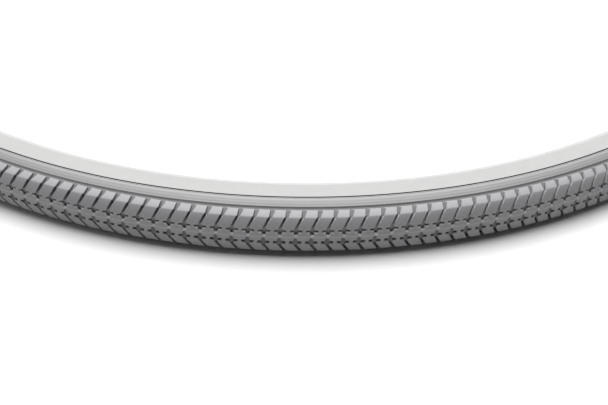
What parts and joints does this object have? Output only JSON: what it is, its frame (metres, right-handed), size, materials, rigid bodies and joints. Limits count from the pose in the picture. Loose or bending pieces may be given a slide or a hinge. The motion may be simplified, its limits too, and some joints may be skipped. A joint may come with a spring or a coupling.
{
  "type": "wheelchair tyre",
  "caption": "Narrow grey clincher tyre, bare and unmounted, with slanted shoulder lugs, a slotted centre rib, ribbed sidewalls and wire beads.",
  "frame": {"origin": "centre of the wheel that the tyre fits, on its mid plane", "axes": "+Z along the wheel's axis, upwards as the tyre lies flat on its side"},
  "size_m": [0.5909, 0.591, 0.025],
  "materials": {
    "tread_rubber": "matte moulded grey rubber",
    "sidewall_rubber": "satin moulded grey rubber",
    "chafer_rubber": "satin rubberised strip",
    "casing_fabric": "rubber-coated nylon cord",
    "belt_rubber": "matte dense rubber",
    "bead_steel": "drawn wire"
  },
  "bodies": {
    "root": {"tread": "tread_rubber", "puncture_belt": "belt_rubber", "casing_ply_outer": "casing_fabric", "casing_ply_inner": "casing_fabric", "sidewall_upper": "sidewall_rubber", "sidewall_lower": "sidewall_rubber", "chafer_upper": "chafer_rubber", "chafer_lower": "chafer_rubber", "bead_wire_upper": "bead_steel", "bead_wire_lower": "bead_steel", "bead_sleeve_upper": "bead_steel", "bead_sleeve_lower": "bead_steel"}
  },
  "joints": []
}
